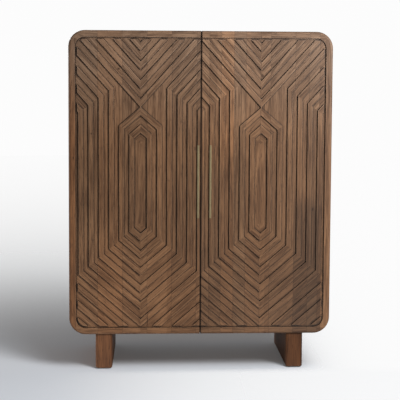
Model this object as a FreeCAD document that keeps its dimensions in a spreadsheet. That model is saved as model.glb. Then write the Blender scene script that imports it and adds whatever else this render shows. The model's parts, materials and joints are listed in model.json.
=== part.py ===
import FreeCAD, Part
import math
import os
import re
import Sketcher

# Bar armoire: a case with rounded corners on two board legs, closed by two carved doors.
# Frame: X to the right, Y to the back, Z up. The origin is on the floor under the middle.

# Driving sizes in millimetres; slopes are rise over run and counts are whole numbers
sizes = {
    # Outside
    "overall_width": 1016,
    "overall_height": 1320,
    "overall_depth": 457,
    "underside_height": 145,
    "corner_radius": 64,
    # Case and back
    "wall": 22,
    "back_thickness": 6,
    "back_lip": 12,
    "back_clearance": 0.3,
    "back_screws_per_side": 4,
    "rail_screws": 3,
    "spline_thickness": 6,
    "spline_reach": 10,
    "spline_stop": 25,
    # Wall anchor rail
    "anchor_rail_height": 70,
    "anchor_bore_drop": 50,
    "anchor_rail_thickness": 18,
    "anchor_bore_radius": 3.5,
    "anchor_inset": 144,
    # Shelves and partition
    "housing_depth": 6,
    "lower_bay_height": 540,
    "shelf_thickness": 22,
    "shelf_setback": 20,
    "partition_thickness": 18,
    "loose_shelf_thickness": 18,
    "loose_shelf_setback": 49,
    "loose_shelf_clearance": 2,
    "pin_hole_start": 190,
    "pin_hole_pitch": 32,
    "pin_hole_count": 6,
    "free_pin_hole_count": 3,
    "pin_hole_inset": 45,
    "pin_hole_depth": 10,
    "shelf_pin_radius": 2.5,
    "shelf_pin_reach": 10,
    "shelf_pin_collar_radius": 4,
    "shelf_pin_collar": 1.5,
    # Crossed bottle rack
    "rack_thickness": 12,
    "rack_setback": 71,
    "rack_clearance": 0.2,
    # Stemware rack
    "stem_rail_count": 7,
    "stem_end_gap": 24,
    "stem_slot_width": 27,
    "stem_rail_setback": 60,
    "stem_back_gap": 33,
    "stem_slat_thickness": 8,
    "stem_spacer_width": 30,
    "stem_spacer_height": 16,
    "stem_end_inset": 50,
    # Legs
    "leg_width": 65,
    "leg_inset": 132.5,
    "leg_setback": 2,
    "leg_corner_radius": 12,
    "leg_foot_radius": 5,
    "glide_height": 3,
    "glide_radius": 14,
    "glide_inset": 40,
    "bolts_per_leg": 3,
    "bolt_inset": 70,
    "bolt_radius": 4,
    "bolt_reach": 32,
    "bolt_head_radius": 8,
    "bolt_head_height": 5,
    "insert_radius": 7,
    "insert_length": 38,
    # Wood screws
    "screw_radius": 1.75,
    "screw_bite": 14,
    "screw_head_radius": 3.5,
    "screw_head_height": 2.4,
    "hole_clearance": 0.15,
    # Doors
    "door_thickness": 30,
    "door_gap": 2,
    "meeting_gap": 3.5,
    "door_roundover": 9,
    # Door carving, levels counted down from the top edge unless named otherwise
    "border_width": 26,
    "border_groove": 8,
    "carving_depth": 5,
    "pattern_shift": 5.5,
    "chevron_count": 4,
    "chevron_start": 47.3,
    "chevron_pitch": 71.4,
    "chevron_height": 30.4,
    "chevron_slope": 1.11,
    "ring_count": 2,
    "ring_top": 389.9,
    "ring_pitch": 67.2,
    "ring_height": 30.6,
    "ring_slope": 0.87,
    "upright_count": 4,
    "upright_start": 24.6,
    "upright_pitch": 39,
    "upright_width": 18,
    "point_rise": 60,
    "point_pitch": 66.9,
    "point_height": 28.7,
    "point_slope": 0.86,
    "neck_width": 5,
    # Handles
    "handle_projection": 28,
    "handle_length": 280,
    "handle_width": 8,
    "handle_bar_depth": 8,
    "handle_edge_radius": 1.5,
    "handle_rise": 10.5,
    "left_handle_offset": 11.5,
    "right_handle_offset": 35.3,
    "post_radius": 3.5,
    "post_inset": 24,
    "post_clearance": 0.2,
    "handle_screw_radius": 2,
    "handle_screw_bite": 12,
    # Hinges
    "hinge_inset": 120,
    "hinge_height": 72,
    "pin_inset": 5,
    "swing_clearance": 0.4,
    "pin_radius": 2,
    "pin_clearance": 0.05,
    "pin_cap_radius": 3,
    "pin_cap": 1.2,
    "barrel_radius": 4,
    "barrel_clearance": 1,
    "knuckle_gap": 0.3,
    "hinge_web": 2,
    "leaf_thickness": 2.5,
    "leaf_margin": 2,
    "door_leaf_width": 22,
    "leaf_head_height": 1.6,
    "leaf_head_radius": 3,
    # Magnetic catches
    "catch_offset": 60,
    "catch_width": 44,
    "catch_height": 14,
    "catch_depth": 22,
    "catch_clearance": 0.3,
    "magnet_width": 16,
    "magnet_height": 8,
    "magnet_sink": 8,
    "strike_width": 22,
    "strike_height": 12,
    "strike_thickness": 2,
    "strike_proud": 1,
}

# Places that follow from the driving sizes
places = {
    "half_width": "overall_width / 2",
    "case_height": "overall_height - underside_height",
    "door_front": "handle_projection - overall_depth / 2",
    "door_back": "door_front + door_thickness",
    "case_front": "door_back + door_gap",
    "case_back": "overall_depth / 2",
    "case_depth": "case_back - case_front",
    "inner_half": "half_width - wall",
    "inner_bottom": "underside_height + wall",
    "inner_top": "overall_height - wall",
    "straight_half": "half_width - corner_radius",
    "side_bottom": "underside_height + corner_radius",
    "side_top": "overall_height - corner_radius",
    "back_face": "case_back - back_thickness",
    "back_half": "half_width - back_lip - back_clearance",
    "back_half_height": "case_height / 2 - back_lip - back_clearance",
    "back_radius": "corner_radius - back_lip - back_clearance",
    "back_screw_inset": "(back_lip + wall) / 2",
    "back_seat": "case_back - screw_head_height",
    "case_middle": "underside_height + case_height / 2",
    "shelf_under": "inner_bottom + lower_bay_height",
    "shelf_front": "case_front + shelf_setback",
    "shelf_depth": "back_face - shelf_front",
    "partition_half": "partition_thickness / 2",
    "bay_width": "inner_half - partition_half",
    "anchor_place": "straight_half - anchor_inset",
    "loose_shelf_front": "shelf_front + loose_shelf_setback",
    "loose_shelf_depth": "back_face - loose_shelf_clearance - loose_shelf_front",
    "pin_level": "inner_bottom + pin_hole_start + pin_hole_pitch * free_pin_hole_count",
    "loose_shelf_under": "pin_level + shelf_pin_radius",
    "rack_front": "shelf_front + rack_setback",
    "rack_depth": "back_face - rack_front",
    "rack_near": "partition_half + rack_clearance",
    "rack_far": "inner_half - rack_clearance",
    "rack_bottom": "inner_bottom + rack_clearance",
    "rack_top": "shelf_under - rack_clearance",
    "rack_round": "corner_radius - wall - rack_clearance",
    "spacer_under": "inner_top - stem_spacer_height",
    "slat_under": "spacer_under - stem_slat_thickness",
    "stem_rail_front": "case_front + stem_rail_setback",
    "stem_rail_back": "back_face - anchor_rail_thickness - stem_back_gap",
    "stem_rail_length": "stem_rail_back - stem_rail_front",
    "stem_rail_span": "2 * straight_half - stem_spacer_width - 2 * stem_end_gap",
    "stem_slat_width": "stem_rail_span / (stem_rail_count - 1) - stem_slot_width",
    "leg_centre": "half_width - leg_inset",
    "leg_front": "case_front + leg_setback",
    "leg_depth": "case_depth - 2 * leg_setback",
    "leg_half_width": "leg_width / 2",
    "leg_half_depth": "leg_depth / 2",
    "leg_height": "underside_height - glide_height",
    "leg_middle": "leg_front + leg_half_depth",
    "bolt_seat": "inner_bottom - bolt_head_height",
    "door_inner": "meeting_gap / 2",
    "handle_level": "case_middle + handle_rise",
    "handle_half_width": "handle_width / 2",
    "handle_half_depth": "handle_bar_depth / 2",
    "bar_back": "door_front - handle_projection + handle_bar_depth",
    "recess_floor": "door_front + carving_depth",
    "post_length": "recess_floor - bar_back",
    "swing_room": "door_gap - swing_clearance",
    "pin_depth": "(pin_inset ^ 2 - swing_room ^ 2) / (2 * swing_room)",
    "pin_line": "door_back - pin_depth",
    "notch_width": "pin_inset + barrel_radius + barrel_clearance",
    "notch_depth": "pin_depth + barrel_radius + barrel_clearance",
    "notch_height": "hinge_height + 2 * (pin_cap + barrel_clearance)",
    "knuckle": "(hinge_height - 2 * knuckle_gap) / 3",
    "hinge_screw_step": "hinge_height / 3",
    "case_screw_inset": "(pin_inset + wall) / 2",
    "door_screw_inset": "notch_width + door_leaf_width / 2",
    "catch_under": "inner_top - catch_height",
    "magnet_level": "inner_top - catch_height / 2",
    "magnet_face": "door_back + strike_proud + catch_clearance",
    "strike_back": "door_back + strike_proud",
}

doc = FreeCAD.newDocument("bar_armoire")
word = re.compile(r"[a-z][a-z_]*[a-z]")


def link(text, own="derived."):
    """Point each name in a formula at its sheet."""
    def home(match):
        name = match.group()
        return ("dims." if name in sizes else own) + name
    return word.sub(home, str(text))


dims = doc.addObject("Spreadsheet::Sheet", "dims")
for row, (name, number) in enumerate(sizes.items(), 1):
    dims.set(f"A{row}", name)
    dims.set(f"B{row}", str(number))
    dims.setAlias(f"B{row}", name)
derived = doc.addObject("Spreadsheet::Sheet", "derived")
for row, (name, formula) in enumerate(places.items(), 1):
    derived.set(f"A{row}", name)
    derived.set(f"B{row}", "=" + link(formula, own=""))
    derived.setAlias(f"B{row}", name)
doc.recompute()


def value(name):
    return float((dims if name in sizes else derived).get(name))


def count(name):
    return int(round(value(name)))


# Directions that a rod or a screw can point in
turns = {
    "+x": FreeCAD.Rotation(FreeCAD.Vector(0, 1, 0), 90),
    "-x": FreeCAD.Rotation(FreeCAD.Vector(0, 1, 0), -90),
    "+y": FreeCAD.Rotation(FreeCAD.Vector(1, 0, 0), -90),
    "-y": FreeCAD.Rotation(FreeCAD.Vector(1, 0, 0), 90),
    "+z": FreeCAD.Rotation(),
    "-z": FreeCAD.Rotation(FreeCAD.Vector(1, 0, 0), 180),
}
opposite = {"+x": "-x", "-x": "+x", "+y": "-y", "-y": "+y", "+z": "-z", "-z": "+z"}


def put(thing, at):
    """Bind the place of an object to three formulas."""
    for axis, formula in zip("xyz", at):
        thing.setExpression(f"Placement.Base.{axis}", link(formula))


def box(name, at, size):
    thing = doc.addObject("Part::Box", name)
    for side, formula in zip(("Length", "Width", "Height"), size):
        thing.setExpression(side, link(formula))
    put(thing, at)
    return thing


def side_box(name, side, near, far, y, depth, z, height):
    """A box between two insets from the left (-1) or right (1) face of the case."""
    start = f"{near} - half_width" if side < 0 else f"half_width - ({far})"
    return box(name, (start, y, z), (f"({far}) - ({near})", depth, height))


def rod(name, at, axis, radius, length):
    thing = doc.addObject("Part::Cylinder", name)
    thing.setExpression("Radius", link(radius))
    thing.setExpression("Height", link(length))
    thing.Placement = FreeCAD.Placement(FreeCAD.Vector(), turns[axis])
    put(thing, at)
    return thing


def fuse(name, shapes):
    thing = doc.addObject("Part::MultiFuse", name)
    thing.Shapes = shapes
    return thing


def cut(name, base, tools):
    thing = doc.addObject("Part::Cut", name)
    thing.Base = base
    thing.Tool = tools[0] if len(tools) == 1 else fuse(name + "_tools", tools)
    return thing


def group(name, members):
    thing = doc.addObject("Part::Compound", name)
    thing.Links = members
    return thing


def screw(name, at, axis, bite, radius="screw_radius",
          head_radius="screw_head_radius", head_height="screw_head_height"):
    """A screw whose head bears at the given point."""
    return fuse(name, [rod(name + "_shank", at, axis, radius, bite),
                       rod(name + "_head", at, opposite[axis], head_radius, head_height)])


def screw_hole(name, at, axis, bite, radius="screw_radius"):
    """A hole for the shank of a screw."""
    return rod(name, at, axis, f"{radius} + hole_clearance", f"{bite} + hole_clearance")


def head_hole(name, at, axis, radius="screw_head_radius", height="screw_head_height"):
    """A recess for the head of a screw."""
    return rod(name, at, opposite[axis], f"{radius} + hole_clearance", height)


def origin_plane(body, role):
    return next(plane for plane in body.Origin.OriginFeatures if plane.Role == role)


def outline(body, name, role, corners):
    """An outline along the axes; a corner is ((factor, size), (factor, size), radius)."""
    sketch = body.newObject("Sketcher::SketchObject", name)
    sketch.AttachmentSupport = [(origin_plane(body, role), "")]
    sketch.MapMode = "FlatFace"

    def number(term):
        return term[0] * value(term[1]) if term else 0.0

    points = [FreeCAD.Vector(number(x), number(y), 0) for x, y, radius in corners]
    radii = [value(radius) if radius else 0.0 for x, y, radius in corners]
    lines = []
    for i, (x, y, radius) in enumerate(corners):
        after = (i + 1) % len(corners)
        along = (points[after] - points[i]).normalize()
        start = points[i] + along * radii[i]
        end = points[after] - along * radii[after]
        line = sketch.addGeometry(Part.LineSegment(start, end))
        level = y == corners[after][1]
        sketch.addConstraint(Sketcher.Constraint("Horizontal" if level else "Vertical", line))
        lines.append((line, start, end, level))
    for i, (x, y, radius) in enumerate(corners):
        line_in, _, end_in, _ = lines[i - 1]
        line_out, start_out, _, _ = lines[i]
        if not radius:
            sketch.addConstraint(Sketcher.Constraint("Coincident", line_in, 2, line_out, 1))
            continue
        centre = end_in + start_out - points[i]
        middle = centre + (points[i] - centre).normalize() * radii[i]
        arc = sketch.addGeometry(Part.Arc(end_in, middle, start_out))
        first = 1 if sketch.getPoint(arc, 1).distanceToPoint(end_in) < radii[i] / 2 else 2
        sketch.addConstraint(Sketcher.Constraint("Tangent", line_in, 2, arc, first))
        sketch.addConstraint(Sketcher.Constraint("Tangent", arc, 3 - first, line_out, 1))
        rule = sketch.addConstraint(Sketcher.Constraint("Radius", arc, radii[i]))
        sketch.setExpression(f"Constraints[{rule}]", link(radius))
    for i, (x, y, radius) in enumerate(corners):
        line, _, _, level = lines[i]
        term = y if level else x
        if not term:
            sketch.addConstraint(Sketcher.Constraint("PointOnObject", line, 1, -1 if level else -2))
            continue
        kind = "DistanceY" if level else "DistanceX"
        rule = sketch.addConstraint(Sketcher.Constraint(kind, -1, 1, line, 1, number(term)))
        sketch.setExpression(f"Constraints[{rule}]", link(f"{term[0]} * {term[1]}"))
    return sketch


def centred(half_width, half_height, radius):
    """Corners of a rounded rectangle about the origin."""
    return [((x, half_width), (y, half_height), radius) for x, y in ((-1, -1), (1, -1), (1, 1), (-1, 1))]


def pad(name, role, corners, length):
    """A body padded from an outline on one of its origin planes."""
    body = doc.addObject("PartDesign::Body", name)
    sketch = outline(body, name + "_outline", role, corners)
    solid = body.newObject("PartDesign::Pad", name + "_pad")
    solid.Profile = sketch
    solid.setExpression("Length", link(length))
    sketch.Visibility = False
    doc.recompute()
    return body


def round_edges(body, chosen, radius):
    """Round the edges of a padded body whose corner points satisfy a test."""
    names = [f"Edge{i}" for i, edge in enumerate(body.Tip.Shape.Edges, 1)
             if chosen([corner.Point for corner in edge.Vertexes])]
    rounding = body.newObject("PartDesign::Fillet", body.Name + "_rounding")
    rounding.Base = (doc.getObject(body.Name + "_pad"), names)
    rounding.setExpression("Radius", link(radius))
    doc.recompute()


def spread(total, number):
    """Formulas for evenly spread offsets that add up to a total length."""
    return [f"({total}) * {(i - (number - 1) / 2) / (number - 1)}" for i in range(number)]


nodes = []
tiny = 1e-6
overcut = 1.0


def node(thing):
    """Keep a finished piece under its own name."""
    thing.Label = thing.Name
    nodes.append(thing)


side_names = {-1: "left", 1: "right"}
level_names = {-1: "bottom", 1: "top"}

# Places of the screws through the back panel: near its four edges and along the anchor rail
rail_level = "inner_top - anchor_bore_drop"
back_lines = {"top": [], "bottom": [], "left": [], "right": [], "rail": []}
for along in spread("2 * straight_half - 2 * spline_stop", count("back_screws_per_side")):
    back_lines["top"].append((along, "back_seat", "overall_height - back_screw_inset"))
    back_lines["bottom"].append((along, "back_seat", "underside_height + back_screw_inset"))
for along in spread("side_top - side_bottom - 2 * spline_stop", count("back_screws_per_side")):
    for side, name in side_names.items():
        place = f"{side} * (half_width - back_screw_inset)"
        back_lines[name].append((place, "back_seat", f"case_middle + {along}"))
for along in spread("anchor_place", count("rail_screws")):
    back_lines["rail"].append((along, "back_seat", rail_level))
back_bite = "back_thickness - screw_head_height + screw_bite"
back_holes = {}
for line, points in back_lines.items():
    back_holes[line] = [screw_hole(f"back_{line}_hole_{i}", at, "-y", back_bite)
                        for i, at in enumerate(points)]

# Splines across the eight joints between the panels and the corner blocks
spline_length = "case_depth - 2 * spline_stop"
spline_front = "case_front + spline_stop"
splines = {}
for side, side_name in side_names.items():
    for level, level_name in level_names.items():
        corner = (side, level)
        panel_level = "inner_top" if level > 0 else "underside_height"
        joint_level = "side_top" if level > 0 else "side_bottom"
        splines[corner, "panel"] = box(
            f"{level_name}_{side_name}_panel_spline",
            (f"{side} * straight_half - spline_reach", spline_front,
             f"{panel_level} + (wall - spline_thickness) / 2"),
            ("2 * spline_reach", spline_length, "spline_thickness"))
        splines[corner, "side"] = side_box(
            f"{level_name}_{side_name}_side_spline", side,
            "(wall - spline_thickness) / 2", "(wall + spline_thickness) / 2",
            spline_front, spline_length, f"{joint_level} - spline_reach", "2 * spline_reach")
node(group("corner_splines", list(splines.values())))


def quarter(name, corner, radius, length):
    """A quarter rod about the corner's centre line, from the back of the case to the front."""
    side, level = corner
    at = (f"{side} * straight_half", "case_back", "side_top" if level > 0 else "side_bottom")
    thing = rod(name, at, "-y", radius, length)
    thing.Angle = 90
    swing = FreeCAD.Rotation(FreeCAD.Vector(0, 0, 1), quarter_turns[corner])
    thing.Placement = FreeCAD.Placement(FreeCAD.Vector(), turns["-y"].multiply(swing))
    return thing


# Corner blocks: quarter rings that carry the wall round the corner
quarter_turns = {(1, 1): 0, (-1, 1): 90, (-1, -1): 180, (1, -1): 270}
for corner in quarter_turns:
    name = f"{level_names[corner[1]]}_{side_names[corner[0]]}_corner_block"
    node(cut(name, quarter(name + "_outside", corner, "corner_radius", "case_depth"), [
        quarter(name + "_inside", corner, "corner_radius - wall", "case_depth"),
        quarter(name + "_rebate", corner, "corner_radius - back_lip", "back_thickness"),
        splines[corner, "panel"], splines[corner, "side"]]))

# Serving shelf and partition, both set in housings
shelf_plank = box("shelf_plank", ("-inner_half - housing_depth", "shelf_front", "shelf_under"),
                  ("2 * (inner_half + housing_depth)", "shelf_depth", "shelf_thickness"))
partition_plank = box("partition_plank", ("-partition_half", "shelf_front", "inner_bottom - housing_depth"),
                      ("partition_thickness", "shelf_depth", "lower_bay_height + 2 * housing_depth"))
node(cut("serving_shelf", shelf_plank, [partition_plank]))

# Rows of pin holes on both sides of the lower left bay, and the four pins in use
pin_columns = ("loose_shelf_front + pin_hole_inset",
               "loose_shelf_front + loose_shelf_depth - pin_hole_inset")
pin_holes = {"side": [], "partition": []}
shelf_pins = []
pin_walls = {"side": ("-inner_half", "-x", "-"), "partition": ("-partition_half", "+x", "+")}
for wall_name, (face, inward, sign) in pin_walls.items():
    for column, place in enumerate(pin_columns):
        for i in range(count("pin_hole_count")):
            at = (face, place, f"inner_bottom + pin_hole_start + pin_hole_pitch * {i}")
            pin_holes[wall_name].append(rod(f"{wall_name}_pin_hole_{column}_{i}", at, inward,
                                            "shelf_pin_radius + hole_clearance", "pin_hole_depth"))
        name = f"{wall_name}_shelf_pin_{column}"
        outward = opposite[inward]
        peg = rod(name + "_peg", (f"{face} {sign} pin_hole_depth", place, "pin_level"), outward,
                  "shelf_pin_radius", "pin_hole_depth + shelf_pin_reach")
        collar = rod(name + "_collar", (face, place, "pin_level"), outward,
                     "shelf_pin_collar_radius", "shelf_pin_collar")
        shelf_pins.append(fuse(name, [peg, collar]))
node(group("shelf_pins", shelf_pins))
node(cut("partition", partition_plank, pin_holes["partition"]))
node(box("loose_shelf", ("-inner_half + loose_shelf_clearance", "loose_shelf_front", "loose_shelf_under"),
         ("bay_width - 2 * loose_shelf_clearance", "loose_shelf_depth", "loose_shelf_thickness")))

# Crossed bottle rack: two boards from corner to corner of the lower right bay, half lapped
bay_body = pad("rack_bay", "XZ_Plane", [
    ((1, "rack_near"), (1, "rack_bottom"), None), ((1, "rack_far"), (1, "rack_bottom"), "rack_round"),
    ((1, "rack_far"), (1, "rack_top"), None), ((1, "rack_near"), (1, "rack_top"), None)], "rack_depth")
put(bay_body, ("0", "back_face", "0"))


def rack_strip(name, lean, front, depth):
    """A strip on one diagonal of the bay; lean is 1 where it rises to the right."""
    thing = doc.addObject("Part::Box", name)
    thing.setExpression("Length", link("bay_width + lower_bay_height"))
    thing.setExpression("Width", link(depth))
    thing.setExpression("Height", link("rack_thickness"))
    near, far = value("rack_near"), value("rack_far")
    low, high = value("rack_bottom"), value("rack_top")
    angle = math.degrees(math.atan2(high - low, far - near))
    turn = FreeCAD.Rotation(FreeCAD.Vector(0, 1, 0), -lean * angle)
    middle = FreeCAD.Vector((near + far) / 2, 0, (low + high) / 2)
    length = value("bay_width") + value("lower_bay_height")
    half = FreeCAD.Vector(length / 2, 0, value("rack_thickness") / 2)
    thing.Placement = FreeCAD.Placement(middle - turn.multVec(half), turn)
    thing.setExpression("Placement.Base.y", link(front))
    return thing


for lean, name, lap_front in ((1, "rising_rack_board", "rack_front"),
                              (-1, "falling_rack_board", "rack_front + rack_depth / 2")):
    board = doc.addObject("Part::Common", name + "_whole")
    board.Base = rack_strip(name + "_strip", lean, "rack_front", "rack_depth")
    board.Tool = bay_body
    node(cut(name, board, [rack_strip(name + "_lap", -lean, lap_front, "rack_depth / 2")]))

# Stemware rack: slats on spacers, screwed up into the top panel
stem_spacers, stem_slats, stem_screws, stem_holes = [], [], [], []
stem_bite = "stem_slat_thickness - screw_head_height + stem_spacer_height + screw_bite"
for i, middle in enumerate(spread("stem_rail_span", count("stem_rail_count"))):
    holes, recesses = [], []
    for end, place in enumerate(("stem_rail_front + stem_end_inset",
                                 "stem_rail_back - stem_end_inset")):
        at = (middle, place, "slat_under + screw_head_height")
        stem_screws.append(screw(f"stem_screw_{i}_{end}", at, "+z", stem_bite))
        holes.append(screw_hole(f"stem_hole_{i}_{end}", at, "+z", stem_bite))
        recesses.append(head_hole(f"stem_recess_{i}_{end}", at, "+z"))
    spacer = box(f"stem_spacer_{i}_plain",
                 (f"{middle} - stem_spacer_width / 2", "stem_rail_front", "spacer_under"),
                 ("stem_spacer_width", "stem_rail_length", "stem_spacer_height"))
    slat = box(f"stem_slat_{i}_plain",
               (f"{middle} - stem_slat_width / 2", "stem_rail_front", "slat_under"),
               ("stem_slat_width", "stem_rail_length", "stem_slat_thickness"))
    stem_spacers.append(cut(f"stem_spacer_{i}", spacer, holes))
    stem_slats.append(cut(f"stem_slat_{i}", slat, holes + recesses))
    stem_holes += holes
node(group("stem_spacers", stem_spacers))
node(group("stem_slats", stem_slats))
node(group("stem_screws", stem_screws))

# Back panel with its screws, and the rail that takes the wall anchors
rail_front = "back_face - anchor_rail_thickness"
bores = [rod(f"{name}_anchor_bore", (f"{side} * anchor_place", rail_front, rail_level),
             "+y", "anchor_bore_radius", "anchor_rail_thickness + back_thickness")
         for side, name in side_names.items()]
back_points = [at for points in back_lines.values() for at in points]
back_recesses = [head_hole(f"back_recess_{i}", at, "-y") for i, at in enumerate(back_points)]
node(group("back_screws", [screw(f"back_screw_{i}", at, "-y", back_bite)
                           for i, at in enumerate(back_points)]))
back_body = pad("back_sheet", "XZ_Plane", centred("back_half", "back_half_height", "back_radius"),
                "back_thickness")
put(back_body, ("0", "case_back", "case_middle"))
node(cut("back_panel", back_body, sum(back_holes.values(), back_recesses + bores)))
rail_plank = box("rail_plank", ("-straight_half", rail_front, "inner_top - anchor_rail_height"),
                 ("2 * straight_half", "anchor_rail_thickness", "anchor_rail_height"))
node(cut("anchor_rail", rail_plank, back_holes["rail"] + bores))


def on_foot(points):
    return all(abs(point.z) < tiny for point in points)


# Legs: boards from front to back, with inserts for the bolts and glides underneath
leg_bolts, leg_inserts, floor_glides, bolt_holes = [], [], [], []
for side, side_name in side_names.items():
    middle = f"{side} * leg_centre"
    sockets = []
    for i, along in enumerate(spread("leg_depth - 2 * bolt_inset", count("bolts_per_leg"))):
        name = f"{side_name}_leg_{i}"
        seat = (middle, f"leg_middle + {along}", "bolt_seat")
        top = (middle, f"leg_middle + {along}", "underside_height")
        reach = "wall - bolt_head_height + bolt_reach"
        head = ("bolt_head_radius", "bolt_head_height")
        leg_bolts.append(screw(name + "_bolt", seat, "-z", reach, "bolt_radius", *head))
        bolt_holes.append(screw_hole(name + "_bolt_hole", seat, "-z", "wall", "bolt_radius"))
        bolt_holes.append(head_hole(name + "_bolt_recess", seat, "-z", *head))
        sleeve = rod(name + "_sleeve", top, "-z", "insert_radius", "insert_length")
        thread = rod(name + "_thread", top, "-z", "bolt_radius + hole_clearance", "insert_length")
        leg_inserts.append(cut(name + "_insert", sleeve, [thread]))
        sockets.append(screw_hole(name + "_socket", top, "-z", "insert_length", "insert_radius"))
    board = pad(f"{side_name}_leg_board", "XY_Plane",
                centred("leg_half_width", "leg_half_depth", "leg_corner_radius"), "leg_height")
    round_edges(board, on_foot, "leg_foot_radius")
    put(board, (middle, "leg_middle", "glide_height"))
    node(cut(f"{side_name}_leg", board, sockets))
    for end, place in enumerate(("leg_front + glide_inset", "leg_front + leg_depth - glide_inset")):
        floor_glides.append(rod(f"{side_name}_glide_{end}", (middle, place, "0"), "+z", "glide_radius",
                                "glide_height"))
node(group("leg_bolts", leg_bolts))
node(group("leg_inserts", leg_inserts))
node(group("floor_glides", floor_glides))

# Hinges: a case leaf with two knuckles, a door leaf with one, and a pin with two caps
hinge_levels = ("underside_height + hinge_inset", "case_middle", "overall_height - hinge_inset")
case_cuts = {-1: [], 1: []}
door_cuts = {-1: [], 1: []}
for side, side_name in side_names.items():
    case_leaves, door_leaves, pins, case_screws, door_screws = [], [], [], [], []
    pin_place = f"{side} * (half_width - pin_inset)"
    for i, level in enumerate(hinge_levels):
        name = f"{side_name}_hinge_{i}"
        foot = f"{level} - hinge_height / 2"
        middle_foot = f"{level} - knuckle / 2"
        upper_foot = f"{level} + hinge_height / 2 - knuckle"
        web = ("pin_inset - hinge_web / 2", "pin_inset + hinge_web / 2")
        bore = rod(name + "_bore", (pin_place, "pin_line", foot), "+z",
                   "pin_radius + pin_clearance", "hinge_height")
        case_plate = side_box(name + "_case_plate", side, "leaf_margin", "wall - leaf_margin",
                              "case_front", "leaf_thickness", foot, "hinge_height")
        door_plate = side_box(name + "_door_plate", side, "notch_width", "notch_width + door_leaf_width",
                              "door_back - leaf_thickness", "leaf_thickness", foot, "hinge_height")
        case_parts = [case_plate]
        for end, knuckle_foot in (("lower", foot), ("upper", upper_foot)):
            case_parts.append(side_box(f"{name}_{end}_web", side, *web, "pin_line",
                                       "case_front - pin_line + leaf_thickness", knuckle_foot, "knuckle"))
            case_parts.append(rod(f"{name}_{end}_knuckle", (pin_place, "pin_line", knuckle_foot), "+z",
                                  "barrel_radius", "knuckle"))
        door_parts = [
            door_plate,
            side_box(name + "_bridge", side, web[0], "notch_width + leaf_margin",
                     "door_back - leaf_thickness", "leaf_thickness", middle_foot, "knuckle"),
            side_box(name + "_middle_web", side, *web, "pin_line", "pin_depth", middle_foot, "knuckle"),
            rod(name + "_middle_knuckle", (pin_place, "pin_line", middle_foot), "+z",
                "barrel_radius", "knuckle")]
        case_holes, door_holes = [], []
        for step in (-1, 0, 1):
            tag = f"{name}_screw_{step + 1}"
            place = f"{level} + {step} * hinge_screw_step"
            case_at = (f"{side} * (half_width - case_screw_inset)", "case_front + leaf_head_height", place)
            door_at = (f"{side} * (half_width - door_screw_inset)", "door_back - leaf_head_height", place)
            head = ("leaf_head_radius", "leaf_head_height")
            case_screws.append(screw(tag + "_case", case_at, "+y", "screw_bite", "screw_radius", *head))
            door_screws.append(screw(tag + "_door", door_at, "-y", "screw_bite", "screw_radius", *head))
            case_holes.append(screw_hole(tag + "_case_hole", case_at, "+y", "screw_bite"))
            door_holes.append(screw_hole(tag + "_door_hole", door_at, "-y", "screw_bite"))
            case_holes.append(head_hole(tag + "_case_recess", case_at, "+y", *head))
            door_holes.append(head_hole(tag + "_door_recess", door_at, "-y", *head))
        case_blank = fuse(name + "_case_blank", case_parts)
        door_blank = fuse(name + "_door_blank", door_parts)
        case_leaves.append(cut(name + "_case_leaf", case_blank, [bore] + case_holes))
        door_leaves.append(cut(name + "_door_leaf", door_blank, [bore] + door_holes))
        pins.append(fuse(name + "_pin", [
            rod(name + "_pin_shaft", (pin_place, "pin_line", foot), "+z", "pin_radius", "hinge_height"),
            rod(name + "_pin_foot", (pin_place, "pin_line", foot), "-z", "pin_cap_radius", "pin_cap"),
            rod(name + "_pin_head", (pin_place, "pin_line", f"{foot} + hinge_height"), "+z",
                "pin_cap_radius", "pin_cap")]))
        case_cuts[side] += [case_plate] + case_holes
        notch = side_box(name + "_notch", side, "0", "notch_width", "door_back - notch_depth",
                         "notch_depth", f"{level} - notch_height / 2", "notch_height")
        door_cuts[side] += [door_plate, notch] + door_holes
    node(group(f"{side_name}_hinge_case_leaves", case_leaves))
    node(group(f"{side_name}_hinge_door_leaves", door_leaves))
    node(group(f"{side_name}_hinge_pins", pins))
    node(group(f"{side_name}_hinge_case_screws", case_screws))
    node(group(f"{side_name}_hinge_door_screws", door_screws))

# Magnetic catches under the top, each facing a strike plate on its door
housings, magnets, catch_screws, catch_holes = [], [], [], []
for side, side_name in side_names.items():
    middle = f"{side} * catch_offset"
    name = f"{side_name}_catch"
    blank = box(name + "_blank", (f"{middle} - catch_width / 2", "case_front", "catch_under"),
                ("catch_width", "catch_depth", "catch_height"))
    magnet = box(name + "_magnet", (f"{middle} - magnet_width / 2", "magnet_face",
                                    "magnet_level - magnet_height / 2"),
                 ("magnet_width", "case_front + magnet_sink - magnet_face", "magnet_height"))
    holes = []
    for end, offset in enumerate(spread("(catch_width + magnet_width) / 2", 2)):
        at = (f"{middle} + {offset}", "case_front + catch_depth / 2", "catch_under + screw_head_height")
        bite = "catch_height - screw_head_height + screw_bite"
        catch_screws.append(screw(f"{name}_screw_{end}", at, "+z", bite))
        catch_holes.append(screw_hole(f"{name}_hole_{end}", at, "+z", bite))
        holes += [catch_holes[-1], head_hole(f"{name}_recess_{end}", at, "+z")]
    housings.append(cut(name + "_housing", blank, [magnet] + holes))
    magnets.append(magnet)
    strike = box(name + "_strike_blank", (f"{middle} - strike_width / 2", "strike_back - strike_thickness",
                                          "magnet_level - strike_height / 2"),
                 ("strike_width", "strike_thickness", "strike_height"))
    at = (middle, "strike_back - leaf_head_height", "magnet_level")
    hole = screw_hole(name + "_strike_hole", at, "-y", "screw_bite")
    recess = head_hole(name + "_strike_recess", at, "-y", "leaf_head_radius", "leaf_head_height")
    node(cut(f"{side_name}_strike_plate", strike, [hole, recess]))
    node(screw(f"{side_name}_strike_screw", at, "-y", "screw_bite", "screw_radius", "leaf_head_radius",
               "leaf_head_height"))
    door_cuts[side] += [strike, hole]
node(group("catch_housings", housings))
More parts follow.
